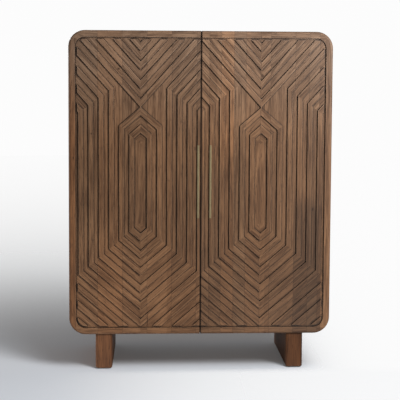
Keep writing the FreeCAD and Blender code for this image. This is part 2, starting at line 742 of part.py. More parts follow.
node(group("catch_magnets", magnets))
node(group("catch_screws", catch_screws))

# Case panels
for level, level_name in level_names.items():
    foot = "inner_top" if level > 0 else "underside_height"
    rebate_foot = "inner_top" if level > 0 else "underside_height + back_lip"
    plank = box(level_name + "_plank", ("-straight_half", "case_front", foot),
                ("2 * straight_half", "case_depth", "wall"))
    rebate = box(level_name + "_rebate", ("-straight_half", "back_face", rebate_foot),
                 ("2 * straight_half", "back_thickness", "wall - back_lip"))
    own = stem_holes + catch_holes if level > 0 else [partition_plank] + bolt_holes
    ends = [splines[(side, level), "panel"] for side in side_names]
    node(cut(level_name + "_panel", plank, ends + [rebate] + back_holes[level_name] + own))
for side, side_name in side_names.items():
    plank = side_box(side_name + "_plank", side, "0", "wall", "case_front", "case_depth",
                     "side_bottom", "side_top - side_bottom")
    rebate = side_box(side_name + "_rebate", side, "back_lip", "wall", "back_face", "back_thickness",
                      "side_bottom", "side_top - side_bottom")
    own = pin_holes["side"] if side < 0 else []
    ends = [splines[(side, level), "side"] for level in level_names]
    node(cut(side_name + "_side_panel", plank,
             ends + [rebate, shelf_plank] + back_holes[side_name] + case_cuts[side] + own))

# Handles: a bar on two posts, held by screws from inside the door
for side, side_name in side_names.items():
    place = f"{side} * {side_name}_handle_offset"
    bar = pad(f"{side_name}_handle_bar", "XY_Plane",
              centred("handle_half_width", "handle_half_depth", "handle_edge_radius"), "handle_length")
    put(bar, (place, "bar_back - handle_half_depth", "handle_level - handle_length / 2"))
    node(bar)
    posts, screws = [], []
    for end, along in enumerate(spread("handle_length - 2 * post_inset", 2)):
        name = f"{side_name}_handle_{end}"
        level = f"handle_level + {along}"
        seat = (place, "door_back - screw_head_height", level)
        bite = "door_back - screw_head_height - recess_floor + handle_screw_bite"
        hole = screw_hole(name + "_hole", seat, "-y", bite, "handle_screw_radius")
        posts.append(cut(name + "_post", rod(name + "_post_blank", (place, "bar_back", level), "+y",
                                             "post_radius", "post_length"), [hole]))
        screws.append(screw(name + "_screw", seat, "-y", bite, "handle_screw_radius"))
        pocket = rod(name + "_pocket", (place, "bar_back", level), "+y", "post_radius + post_clearance",
                     "post_length")
        door_cuts[side] += [hole, head_hole(name + "_recess", seat, "-y"), pocket]
    node(group(f"{side_name}_handle_posts", posts))
    node(group(f"{side_name}_handle_screws", screws))


def region(inset, side):
    """The face inside the door's border at an inset, from the cabinet's middle; local to the door."""
    far = value("half_width") - inset
    low = inset
    high = value("case_height") - inset
    radius = value("corner_radius") - inset
    bend = radius * (1 - math.sqrt(0.5))

    def point(x, z):
        return FreeCAD.Vector(side * x, -value("door_thickness") - overcut, z)

    start, end = point(0, low), point(0, high)
    low_in, low_out = point(far - radius, low), point(far, low + radius)
    top_out, top_in = point(far, high - radius), point(far - radius, high)
    low_bend, top_bend = point(far - bend, low + bend), point(far - bend, high - bend)
    return Part.Face(Part.Wire([
        Part.makeLine(start, low_in), Part.Arc(low_in, low_bend, low_out).toShape(),
        Part.makeLine(low_out, top_out), Part.Arc(top_out, top_bend, top_in).toShape(),
        Part.makeLine(top_in, end), Part.makeLine(end, start)]))


def band_halves():
    """Right halves of the raised bands and of the hollows in them, as points (out, down).

    Out is counted from the pattern's centre line and down from the top of the door.
    """
    reach = value("half_width")
    height = value("case_height")
    chevron, chevron_rise = value("chevron_height"), value("chevron_slope")
    ring, ring_rise = value("ring_height"), value("ring_slope")
    point, point_rise = value("point_height"), value("point_slope")
    rings, uprights = count("ring_count"), count("upright_count")
    bands = []

    def chevron_level(i):
        return value("chevron_start") + i * value("chevron_pitch")

    def point_level(i):
        return height - value("point_rise") - (rings + uprights - 1 - i) * value("point_pitch")

    for i in range(count("chevron_count")):
        top = chevron_level(i)
        far = top - chevron_rise * reach
        bands.append(([(0, top), (reach, far), (reach, far + chevron), (0, top + chevron)], None))
    for i in range(rings):
        near = value("upright_start") + i * value("upright_pitch")
        far = near + value("upright_width")
        top = value("ring_top") - i * value("ring_pitch")
        low = point_level(i)
        bands.append(([(0, top - ring), (far, top - ring + ring_rise * far),
                       (far, low + point - point_rise * far), (0, low + point)],
                      [(0, top), (near, top + ring_rise * near), (near, low - point_rise * near), (0, low)]))
    for i in range(rings, rings + uprights):
        near = value("upright_start") + i * value("upright_pitch")
        far = near + value("upright_width")
        top = chevron_level(count("chevron_count") + i - rings)
        low = point_level(i)
        bands.append(([(0, low), (near, low - point_rise * near), (near, top - chevron_rise * near),
                       (reach, top - chevron_rise * reach), (reach, top + chevron - chevron_rise * reach),
                       (far, top + chevron - chevron_rise * far), (far, low + point - point_rise * far),
                       (0, low + point)], None))
    i = rings + uprights
    while point_level(i) - point_rise * reach < height:
        low = point_level(i)
        far = low - point_rise * reach
        bands.append(([(0, low), (reach, far), (reach, far + point), (0, low + point)], None))
        i += 1
    neck_top = chevron_level(count("chevron_count") - 1) + chevron / 2
    neck_low = value("ring_top") - (rings - 1) * value("ring_pitch") - ring / 2
    neck = value("neck_width") / 2
    bands.append(([(0, neck_top), (neck, neck_top), (neck, neck_low), (0, neck_low)], None))
    return bands


def band_face(half, side):
    """A band from its right half, on the door's pattern centre line; local to the door."""
    field = value("half_width") - value("border_width") - value("border_groove")
    centre = (value("door_inner") + field) / 2 - value("pattern_shift")
    whole = half + [(-out, down) for out, down in reversed(half) if out]
    front = -value("door_thickness") - overcut
    points = [FreeCAD.Vector(side * centre + out, front, value("case_height") - down) for out, down in whole]
    return Part.Face(Part.makePolygon(points + points[:1]))


def on_outer_arris(points):
    """True for the front edges of a door, apart from the one at the meeting gap."""
    front = all(abs(point.y + value("door_thickness")) < tiny for point in points)
    return front and any(abs(abs(point.x) - value("door_inner")) > tiny for point in points)


# Doors: slabs with rounded outer corners, carved down to the recess between the raised bands
for side, side_name in side_names.items():
    slab = pad(f"{side_name}_slab", "XZ_Plane", [
        ((side, "door_inner"), None, None), ((side, "half_width"), None, "corner_radius"),
        ((side, "half_width"), (1, "case_height"), "corner_radius"),
        ((side, "door_inner"), (1, "case_height"), None)], "door_thickness")
    round_edges(slab, on_outer_arris, "door_roundover")
    put(slab, ("0", "door_back", "underside_height"))
    faces = [band_face(half, side) if hollow is None else band_face(half, side).cut(band_face(hollow, side))
             for half, hollow in band_halves()]
    raised = faces[0].multiFuse(faces[1:])
    inside = region(value("border_width") + value("border_groove"), side)
    recess = region(value("border_width"), side).cut(inside.common(raised))
    carving = doc.addObject("Part::Feature", f"{side_name}_carving")
    carving.Shape = recess.extrude(FreeCAD.Vector(0, value("carving_depth") + overcut, 0))
    put(carving, ("0", "door_back", "underside_height"))
    carved = cut(f"{side_name}_carved_slab", slab, [carving])
    node(cut(f"{side_name}_door", carved, door_cuts[side]))

doc.recompute()
for thing in doc.Objects:
    if "Invalid" in thing.State or "Error" in thing.State:
        raise RuntimeError(f"{thing.Name} did not compute")
for thing in nodes:
    if thing.Shape.isNull() or not thing.Shape.isValid() or not thing.Shape.Solids:
        raise RuntimeError(f"{thing.Name} has no valid solid")
os.makedirs("parts", exist_ok=True)
for thing in nodes:
    thing.Shape.exportStep(f"parts/{thing.Label}.step")
    print(thing.Label, len(thing.Shape.Solids), round(thing.Shape.Volume))
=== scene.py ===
import json
import math

import bmesh
import bpy
from mathutils import Matrix, Vector


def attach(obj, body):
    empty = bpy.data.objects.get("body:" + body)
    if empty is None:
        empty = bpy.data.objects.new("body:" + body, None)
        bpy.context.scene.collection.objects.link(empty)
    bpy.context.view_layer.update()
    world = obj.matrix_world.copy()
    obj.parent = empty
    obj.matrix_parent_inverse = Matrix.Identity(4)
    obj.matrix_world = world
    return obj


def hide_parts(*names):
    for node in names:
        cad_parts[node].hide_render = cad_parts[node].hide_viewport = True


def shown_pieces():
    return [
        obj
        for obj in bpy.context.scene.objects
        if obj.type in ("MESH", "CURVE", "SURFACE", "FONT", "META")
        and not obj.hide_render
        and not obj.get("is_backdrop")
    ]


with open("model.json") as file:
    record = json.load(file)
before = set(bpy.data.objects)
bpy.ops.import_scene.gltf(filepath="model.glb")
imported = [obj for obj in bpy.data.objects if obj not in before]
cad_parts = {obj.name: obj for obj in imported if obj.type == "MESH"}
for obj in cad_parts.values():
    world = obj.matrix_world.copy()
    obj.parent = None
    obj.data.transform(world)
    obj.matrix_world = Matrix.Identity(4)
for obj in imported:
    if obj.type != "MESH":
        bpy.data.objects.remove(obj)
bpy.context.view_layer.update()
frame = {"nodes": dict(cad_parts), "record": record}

print("frame loaded:", len(frame["nodes"]), "nodes")


# Colours are given as they look on a screen, 0 to 255, and turned into light values
def paint(red, green, blue):
    def light(level):
        level /= 255
        return level / 12.92 if level <= 0.04045 else ((level + 0.055) / 1.055) ** 2.4
    return (light(red), light(green), light(blue), 1.0)


# Small helpers for node trees: a socket is linked, anything else is set as a plain value
def feed(tree, socket, value):
    if isinstance(value, bpy.types.NodeSocket):
        tree.links.new(value, socket)
    else:
        socket.default_value = value


def put(tree, kind, settings=None, inputs=None):
    made = tree.nodes.new("ShaderNode" + kind)
    for name, value in (settings or {}).items():
        setattr(made, name, value)
    for name, value in (inputs or {}).items():
        feed(tree, made.inputs[name], value)
    return made


def sums(tree, operation, *values):
    made = put(tree, "Math", {"operation": operation})
    for place, value in enumerate(values):
        feed(tree, made.inputs[place], value)
    return made.outputs[0]


def vectorSums(tree, operation, *values):
    made = put(tree, "VectorMath", {"operation": operation})
    for place, value in enumerate(values):
        feed(tree, made.inputs[place], value)
    return made


def stretched(tree, spot, scales):
    return vectorSums(tree, "MULTIPLY", spot, scales).outputs[0]


def objectSpot(tree):
    return put(tree, "TexCoord").outputs["Object"]


def apartXyz(tree, spot):
    return put(tree, "SeparateXYZ", None, {0: spot}).outputs


def stain(tree, share, under, over, way="MIX"):
    made = put(tree, "Mix", {"data_type": "RGBA", "blend_type": way})
    feed(tree, made.inputs[0], share)
    feed(tree, made.inputs[6], under)
    feed(tree, made.inputs[7], over)
    return made.outputs[2]


def tinted(tree, colour, tint):
    return stain(tree, 1.0, colour, tint, "MULTIPLY")


def ramp(tree, value, low, high, atLow=0.0, atHigh=1.0):
    return put(tree, "MapRange", {"interpolation_type": "SMOOTHSTEP"}, {
        "Value": value, "From Min": low, "From Max": high, "To Min": atLow, "To Max": atHigh}).outputs[0]


def cloudy(tree, spot, scale, detail=2.0, rough=0.5, twist=0.0):
    return put(tree, "TexNoise", None, {"Vector": spot, "Scale": scale, "Detail": detail, "Roughness": rough,
                                        "Distortion": twist}).outputs[0]


def startGroup(name, inputs, outputs):
    group = bpy.data.node_groups.new(name, "ShaderNodeTree")
    for label, kind, value in inputs:
        socket = group.interface.new_socket(label, in_out="INPUT", socket_type="NodeSocket" + kind)
        socket.default_value = value
    for label, kind in outputs:
        group.interface.new_socket(label, in_out="OUTPUT", socket_type="NodeSocket" + kind)
    return group, group.nodes.new("NodeGroupInput").outputs, group.nodes.new("NodeGroupOutput").inputs


# How staves are drawn: a scale counts marks in a metre across, through and along the grain, a weight moves
# the share of pale grain, and dark is how far a mark goes toward the deep tone
grainLook = {
    "split": {"from": 0.35, "range": 0.3, "over": 0.5, "seedStep": 17.3},
    "tone": {"seedStep": 31.7, "log": (3.7, 1.9, 9.1)},
    "glueLine": {"near": 0.0003, "far": 0.0011, "dark": 0.5},
    "rings": {"stretch": (1.0, 1.0, 0.07), "scale": 11.0, "detail": 1.5, "rough": 0.45, "twist": 0.35,
              "turns": 62.0},
    "fibres": {"scale": (140.0, 140.0, 4.5), "detail": 3.0, "rough": 0.65, "weight": 0.8},
    "threads": {"scale": (320.0, 320.0, 14.0), "detail": 2.0, "rough": 0.6, "weight": 1.2},
    "cloud": {"scale": (5.0, 5.0, 2.2), "detail": 2.0, "rough": 0.55, "weight": 0.6},
    "pores": {"scale": (300.0, 300.0, 40.0), "detail": 1.0, "rough": 0.5, "from": 0.62, "to": 0.74,
              "dark": 0.55},
    "flecks": {"scale": (95.0, 95.0, 16.0), "detail": 1.0, "rough": 0.5, "from": 0.66, "to": 0.78,
               "dark": 0.2},
    "knots": {"scale": (6.0, 6.0, 2.6), "core": 0.02, "rim": 0.075, "over": 0.72, "dark": 0.7},
    "tints": {"warm": (1.04, 0.99, 0.94, 1.0), "cool": (0.97, 1.0, 1.03, 1.0),
              "deep": (0.45, 0.42, 0.40, 1.0)},
    "roughness": {"least": 0.42, "threads": 0.16, "marks": 0.2},
    "height": {"fibres": 0.5, "threads": 0.4, "marks": 0.8},
}


# Glued staves: the grain runs along the third axis of Place and the staves lie side by side along the first
def makeStaveGroup():
    tree, given, wanted = startGroup("gluedStaves", [
        ("Place", "Vector", (0, 0, 0)), ("Grain Place", "Vector", (0, 0, 0)), ("Stave Width", "Float", 0.095),
        ("First Joint", "Float", 0.0), ("Seed", "Float", 0.0), ("Dark Grain", "Color", (0, 0, 0, 1)),
        ("Pale Grain", "Color", (1, 1, 1, 1)), ("Stave Spread", "Float", 0.5), ("Figure", "Float", 0.4)],
        [("Colour", "Color"), ("Roughness", "Float"), ("Height", "Float")])

    def drawn(label, seedStep):
        return put(tree, "TexWhiteNoise", {"noise_dimensions": "1D"},
                   {"W": sums(tree, "ADD", label, sums(tree, "MULTIPLY", given["Seed"], seedStep))}).outputs

    def streaks(name, spot):
        look = grainLook[name]
        return cloudy(tree, stretched(tree, spot, look["scale"]), 1.0, look["detail"], look["rough"])

    # which stave a point lies in; some staves are split into two
    split, across = grainLook["split"], apartXyz(tree, given["Place"])[0]
    count = sums(tree, "DIVIDE", sums(tree, "SUBTRACT", across, given["First Joint"]), given["Stave Width"])
    whole = sums(tree, "FLOOR", count)
    within = sums(tree, "SUBTRACT", count, whole)
    draw = drawn(whole, split["seedStep"])[0]
    cutAt = sums(tree, "ADD", split["from"], sums(tree, "MULTIPLY", draw, split["range"]))
    isCut = sums(tree, "GREATER_THAN", draw, split["over"])
    beyond = sums(tree, "MULTIPLY", isCut, sums(tree, "GREATER_THAN", within, cutAt))
    label = sums(tree, "ADD", sums(tree, "MULTIPLY", whole, 2.0), beyond)
    tone, hue = drawn(label, grainLook["tone"]["seedStep"])
    tints = put(tree, "SeparateColor", None, {0: hue}).outputs
    # distance to the nearest glue line, in metres
    toEdge = sums(tree, "MINIMUM", within, sums(tree, "SUBTRACT", 1.0, within))
    toCut = sums(tree, "ADD", sums(tree, "ABSOLUTE", sums(tree, "SUBTRACT", within, cutAt)),
                 sums(tree, "SUBTRACT", 1.0, isCut))
    toJoint = sums(tree, "MULTIPLY", sums(tree, "MINIMUM", toEdge, toCut), given["Stave Width"])
    glueLine = ramp(tree, toJoint, grainLook["glueLine"]["near"], grainLook["glueLine"]["far"], 1.0, 0.0)
    # every stave takes its grain from another part of the log
    steps = zip((tone, tone, tints[1]), grainLook["tone"]["log"])
    jump = put(tree, "CombineXYZ", None, {i: sums(tree, "MULTIPLY", value, reach)
                                          for i, (value, reach) in enumerate(steps)}).outputs[0]
    spot = vectorSums(tree, "ADD", given["Grain Place"], jump).outputs[0]
    ring = grainLook["rings"]
    rings = cloudy(tree, stretched(tree, spot, ring["stretch"]), ring["scale"], ring["detail"], ring["rough"],
                   ring["twist"])
    rings = sums(tree, "SINE", sums(tree, "MULTIPLY", rings, ring["turns"]))
    rings = sums(tree, "MULTIPLY_ADD", rings, 0.5, 0.5)
    fibres, threads = streaks("fibres", spot), streaks("threads", spot)
    pores, flecks = (ramp(tree, streaks(name, spot), grainLook[name]["from"], grainLook[name]["to"])
                     for name in ("pores", "flecks"))
    cloud = streaks("cloud", given["Place"])
    # small knots, one here and there
    knot = grainLook["knots"]
    cells = put(tree, "TexVoronoi", None, {"Vector": stretched(tree, spot, knot["scale"]),
                                           "Scale": 1.0}).outputs
    knotDraw = put(tree, "SeparateColor", None, {0: cells["Color"]}).outputs[0]
    knots = sums(tree, "MULTIPLY", ramp(tree, cells["Distance"], knot["core"], knot["rim"], 1.0, 0.0),
                 sums(tree, "GREATER_THAN", knotDraw, knot["over"]))
    # one share between the dark and the pale grain
    share = sums(tree, "MULTIPLY_ADD", sums(tree, "SUBTRACT", rings, 0.5), given["Figure"], 0.5)
    for value, weight in ((fibres, grainLook["fibres"]["weight"]), (threads, grainLook["threads"]["weight"]),
                          (cloud, grainLook["cloud"]["weight"]), (tone, given["Stave Spread"])):
        share = sums(tree, "MULTIPLY_ADD", sums(tree, "SUBTRACT", value, 0.5), weight, share)
    colour = stain(tree, ramp(tree, share, 0.0, 1.0), given["Dark Grain"], given["Pale Grain"])
    warm, cool = (tinted(tree, colour, grainLook["tints"][name]) for name in ("warm", "cool"))
    colour = stain(tree, tints[2], cool, warm)
    deep = tinted(tree, given["Dark Grain"], grainLook["tints"]["deep"])
    marks = sums(tree, "MULTIPLY", pores, grainLook["pores"]["dark"])
    for name, value in (("flecks", flecks), ("knots", knots), ("glueLine", glueLine)):
        marks = sums(tree, "MAXIMUM", marks, sums(tree, "MULTIPLY", value, grainLook[name]["dark"]))
    tree.links.new(stain(tree, marks, colour, deep), wanted["Colour"])
    rough, high = grainLook["roughness"], grainLook["height"]
    dull = sums(tree, "MULTIPLY_ADD", threads, rough["threads"], rough["least"])
    tree.links.new(sums(tree, "MULTIPLY_ADD", marks, rough["marks"], dull), wanted["Roughness"])
    raised = sums(tree, "MULTIPLY_ADD", fibres, high["fibres"],
                  sums(tree, "MULTIPLY", threads, high["threads"]))
    raised = sums(tree, "SUBTRACT", raised, sums(tree, "MULTIPLY", marks, high["marks"]))
    tree.links.new(raised, wanted["Height"])
    return tree


# Turn and open are read between the two values given: how far a face turns away, and how open it lies. Corner
# is read the same way: between these openness values an inside corner goes from fully to not at all darkened,
# which is painted shade
arrisAndCornerLook = {"turn": (0.02, 0.2), "open": (0.6, 0.95), "corner": (0.62, 0.86), "bevelSamples": 4,
            "openSamples": 6,
            "patches": {"scale": 45.0, "detail": 3.0, "rough": 0.6, "from": 0.35, "to": 0.65, "least": 0.35}}


# Proud arrises go paler, which is partly wear and partly a painted highlight; inside corners go dark, which
# is painted shade
def makeWearHighlightShadeGroup():
    tree, given, wanted = startGroup("wearHighlightAndCornerShade", [
        ("Colour", "Color", (1, 1, 1, 1)), ("Worn Lit Colour", "Color", (1, 1, 1, 1)), ("Wear And Highlight", "Float", 0.4),
        ("Corner Shade Colour", "Color", (0, 0, 0, 1)), ("Corner Shade", "Float", 0.5), ("Edge Size", "Float", 0.0015),
        ("Corner Size", "Float", 0.008)],
        [("Colour", "Color"), ("Edge", "Float")])
    facing = put(tree, "NewGeometry").outputs["Normal"]
    rounded = put(tree, "Bevel", {"samples": arrisAndCornerLook["bevelSamples"]},
                  {"Radius": given["Edge Size"]}).outputs[0]
    turn = sums(tree, "SUBTRACT", 1.0, vectorSums(tree, "DOT_PRODUCT", facing, rounded).outputs["Value"])
    openness = put(tree, "AmbientOcclusion", {"samples": arrisAndCornerLook["openSamples"]},
                   {"Distance": given["Corner Size"]}).outputs["AO"]
    patch = arrisAndCornerLook["patches"]
    patchy = ramp(tree, cloudy(tree, objectSpot(tree), patch["scale"], patch["detail"], patch["rough"]),
                  patch["from"], patch["to"], patch["least"], 1.0)
    # the arris mask, where a face turns away and lies open: wear and a painted highlight
    edge = sums(tree, "MULTIPLY", ramp(tree, turn, *arrisAndCornerLook["turn"]),
                ramp(tree, openness, *arrisAndCornerLook["open"]))
    edge = sums(tree, "MULTIPLY", edge, patchy)
    # painted shade: the less open an inside corner lies, the darker it is painted
    corner = ramp(tree, openness, *arrisAndCornerLook["corner"], 1.0, 0.0)
    wornLitColour = stain(tree, sums(tree, "MULTIPLY", edge, given["Wear And Highlight"]), given["Colour"], given["Worn Lit Colour"])
    cornerShadeColour = stain(tree, sums(tree, "MULTIPLY", corner, given["Corner Shade"]), wornLitColour, given["Corner Shade Colour"])
    tree.links.new(cornerShadeColour, wanted["Colour"])
    tree.links.new(edge, wanted["Edge"])
    return tree


drawnLook = {"lines": {"scale": (2600.0, 2600.0, 45.0), "detail": 2.0, "rough": 0.6, "dark": 0.22,
                       "dull": 0.12},
             "patches": {"scale": 38.0, "detail": 4.0, "rough": 0.65, "twist": 0.3, "from": 0.35, "to": 0.7,
                         "dull": 0.16}}


# Drawn metal: fine lines along one axis, with dull patches
def makeMetalGroup():
    tree, given, wanted = startGroup("drawnMetal", [
        ("Place", "Vector", (0, 0, 0)), ("Bright", "Color", (1, 1, 1, 1)), ("Tarnish", "Color", (0, 0, 0, 1)),
        ("Tarnish Share", "Float", 0.5), ("Base Roughness", "Float", 0.3)],
        [("Colour", "Color"), ("Roughness", "Float"), ("Height", "Float")])
    line, patch = drawnLook["lines"], drawnLook["patches"]
    lines = cloudy(tree, stretched(tree, given["Place"], line["scale"]), 1.0, line["detail"], line["rough"])
    patches = cloudy(tree, given["Place"], patch["scale"], patch["detail"], patch["rough"], patch["twist"])
    patches = ramp(tree, patches, patch["from"], patch["to"])
    tarnished = sums(tree, "MULTIPLY", patches, given["Tarnish Share"])
    colour = stain(tree, tarnished, given["Bright"], given["Tarnish"])
    colour = stain(tree, sums(tree, "MULTIPLY", lines, line["dark"]), colour, given["Tarnish"])
    tree.links.new(colour, wanted["Colour"])
    rough = sums(tree, "MULTIPLY_ADD", patches, patch["dull"], given["Base Roughness"])
    tree.links.new(sums(tree, "MULTIPLY_ADD", lines, line["dull"], rough), wanted["Roughness"])
    tree.links.new(lines, wanted["Height"])
    return tree


staveGroup, wearHighlightShadeGroup, metalGroup = makeStaveGroup(), makeWearHighlightShadeGroup(), makeMetalGroup()
print("shared finishes ready")


def blankMaterial(name):
    material = bpy.data.materials.new(name)
    material.use_nodes = True
    tree = material.node_tree
    tree.nodes.clear()
    shader = put(tree, "BsdfPrincipled")
    tree.links.new(shader.outputs[0], put(tree, "OutputMaterial").inputs["Surface"])
    return material, tree, shader


def useGroup(tree, group, inputs):
    made = tree.nodes.new("ShaderNodeGroup")
    made.node_tree = group
    for name, value in inputs.items():
        feed(tree, made.inputs[name], value)
    return made.outputs


def roughen(tree, shader, height, strength, depth):
    bump = put(tree, "Bump", None, {"Strength": strength, "Distance": depth, "Height": height})
    tree.links.new(bump.outputs[0], shader.inputs["Normal"])


def turnedPlace(tree, order):
    spot = objectSpot(tree)
    if order == "xyz":
        return spot
    apart = apartXyz(tree, spot)
    return put(tree, "CombineXYZ", None, {i: apart["xyz".index(axis)]
                                          for i, axis in enumerate(order)}).outputs[0]


# The brushed grain of the door fronts runs along the carved bands: up the uprights, and out along the arms
# of the chevrons at the top, of the roofs over the hexagons and of the points at the bottom
carving = {"centre": 0.2324, "top": 1.32, "chevron": {"low": 0.2919, "slope": 1.11, "turn": 42.0},
           "shoulder": {"out": 0.1026, "down": 0.219, "slope": 0.72},
           "roof": {"top": 0.2921, "slope": 0.87, "eave": 0.4329, "fall": 0.856, "turn": -49.0},
           "point": {"top": 0.7382, "slope": 0.856, "turn": 49.3},
           "border": {"side": 0.478, "top": 0.030, "low": 1.145, "turn": 90.0},
           "frontOf": -0.19, "halfStep": 1.3, "doorStep": 3.1}


def carvedPlace(tree):
    along = apartXyz(tree, objectSpot(tree))
    side = sums(tree, "SIGN", along[0])
    apart = sums(tree, "SUBTRACT", sums(tree, "ABSOLUTE", along[0]), carving["centre"])
    out, down = sums(tree, "ABSOLUTE", apart), sums(tree, "SUBTRACT", carving["top"], along[2])
    chevron, shoulder, roof = carving["chevron"], carving["shoulder"], carving["roof"]
    point, border = carving["point"], carving["border"]

    def level(start, slope):
        return sums(tree, "MULTIPLY_ADD", out, slope, start)

    arms = sums(tree, "MAXIMUM", level(chevron["low"], -chevron["slope"]),
                level(shoulder["down"] - shoulder["slope"] * shoulder["out"], shoulder["slope"]))
    inChevrons = sums(tree, "LESS_THAN", down, arms)
    inRoofs = sums(tree, "MULTIPLY", sums(tree, "GREATER_THAN", down, level(roof["top"], roof["slope"])),
                   sums(tree, "LESS_THAN", down, level(roof["eave"], -roof["fall"])))
    inPoints = sums(tree, "GREATER_THAN", down, level(point["top"], point["slope"]))
    turn = sums(tree, "MULTIPLY", inChevrons, math.radians(chevron["turn"]))
    turn = sums(tree, "MULTIPLY_ADD", inRoofs, math.radians(roof["turn"]), turn)
    turn = sums(tree, "MULTIPLY_ADD", inPoints, math.radians(point["turn"]), turn)
    inside = sums(tree, "LESS_THAN", sums(tree, "ABSOLUTE", along[0]), border["side"])
    turn = sums(tree, "MULTIPLY", turn, inside)
    rails = sums(tree, "MAXIMUM", sums(tree, "LESS_THAN", down, border["top"]),
                 sums(tree, "GREATER_THAN", down, border["low"]))
    turn = sums(tree, "ADD", sums(tree, "MULTIPLY", turn, sums(tree, "SUBTRACT", 1.0, rails)),
                sums(tree, "MULTIPLY", rails, math.radians(border["turn"])))
    turn = sums(tree, "MULTIPLY", turn, sums(tree, "LESS_THAN", along[1], carving["frontOf"]))
    cosine, sine = sums(tree, "COSINE", turn), sums(tree, "SINE", turn)
    across = sums(tree, "ADD", sums(tree, "MULTIPLY", out, cosine), sums(tree, "MULTIPLY", down, sine))
    forth = sums(tree, "SUBTRACT", sums(tree, "MULTIPLY", out, sine), sums(tree, "MULTIPLY", down, cosine))
    # the two halves of each door don't mirror each other, nor do the doors
    half = sums(tree, "MULTIPLY_ADD", sums(tree, "SIGN", apart), carving["halfStep"],
                sums(tree, "MULTIPLY", side, carving["doorStep"]))
    across = sums(tree, "ADD", across, half)
    return put(tree, "CombineXYZ", None, {0: across, 1: along[1], 2: forth}).outputs[0]


flawLook = {"tint": (0.25, 0.2, 0.17, 1.0), "core": 0.3, "rim": 1.3, "share": 0.85}


# The doors are painted paler and cooler toward the top, which is painted light from above; some of their
# staves differ in tone, and knots and a crack show in them
def doorToneAndTopLight(tree, colour, paintedTopLight, staves, flaws):
    along = apartXyz(tree, objectSpot(tree))
    # painted light from above: paler and cooler from the first height given to the second
    topLit = tinted(tree, colour, paintedTopLight["tint"])
    colour = stain(tree, ramp(tree, along[2], *paintedTopLight["rise"]), colour, topLit)
    for stave in staves:
        inside = sums(tree, "MULTIPLY", sums(tree, "GREATER_THAN", along[0], stave["from"]),
                      sums(tree, "LESS_THAN", along[0], stave["to"]))
        inside = sums(tree, "MULTIPLY", inside, ramp(tree, along[2], *stave["fade"]))
        colour = stain(tree, inside, colour, tinted(tree, colour, stave["tint"]))
    for x, z, wide, tall in flaws:
        aside = sums(tree, "DIVIDE", sums(tree, "SUBTRACT", along[0], x), wide)
        above = sums(tree, "DIVIDE", sums(tree, "SUBTRACT", along[2], z), tall)
        apart = sums(tree, "ADD", sums(tree, "POWER", aside, 2.0), sums(tree, "POWER", above, 2.0))
        shown = ramp(tree, apart, flawLook["core"], flawLook["rim"], flawLook["share"], 0.0)
        colour = stain(tree, shown, colour, tinted(tree, colour, flawLook["tint"]))
    return colour


# order says which axis lies across the staves, which through them and which along the grain
def woodMaterial(name, order, wood):
    material, tree, shader = blankMaterial(name)
    place = turnedPlace(tree, order)
    isCarved = "paintedTopLight" in wood
    grain = useGroup(tree, staveGroup, {
        "Place": place, "Grain Place": carvedPlace(tree) if isCarved else place,
        "Stave Width": wood["staveWidth"], "First Joint": wood["firstJoint"],
        "Seed": wood["seed"], "Dark Grain": wood["dark"], "Pale Grain": wood["pale"],
        "Stave Spread": wood["spread"], "Figure": wood["figure"]})
    colour = useGroup(tree, wearHighlightShadeGroup, {
        "Colour": grain["Colour"], "Worn Lit Colour": wood["wornLitColour"], "Wear And Highlight": wood["wearAndHighlight"], "Corner Shade Colour": wood["cornerShadeColour"],
        "Corner Shade": wood["cornerShade"], "Edge Size": wood["edgeSize"], "Corner Size": wood["cornerSize"]})["Colour"]
    if isCarved:
        colour = doorToneAndTopLight(tree, colour, wood["paintedTopLight"], wood["oddStaves"], wood["flaws"])
    tree.links.new(colour, shader.inputs["Base Color"])
    tree.links.new(grain["Roughness"], shader.inputs["Roughness"])
    shader.inputs["Specular IOR Level"].default_value = wood["gloss"]
    roughen(tree, shader, grain["Height"], wood["bump"], wood["bumpDepth"])
    return material


# The pale arris colour and its share are wear and a painted highlight; the dark corner colour and its share
# are painted shade in the inside corners
walnut = {"staveWidth": 0.095, "firstJoint": 0.363, "seed": 4.0, "dark": paint(74, 49, 31),
          "pale": paint(136, 101, 72), "spread": 0.1, "figure": 0.18, "wornLitColour": paint(176, 148, 122),
          "wearAndHighlight": 0.35, "cornerShadeColour": paint(20, 12, 7), "cornerShade": 1.0, "edgeSize": 0.0016, "cornerSize": 0.0045,
          "gloss": 0.35, "bump": 0.35, "bumpDepth": 0.0006}
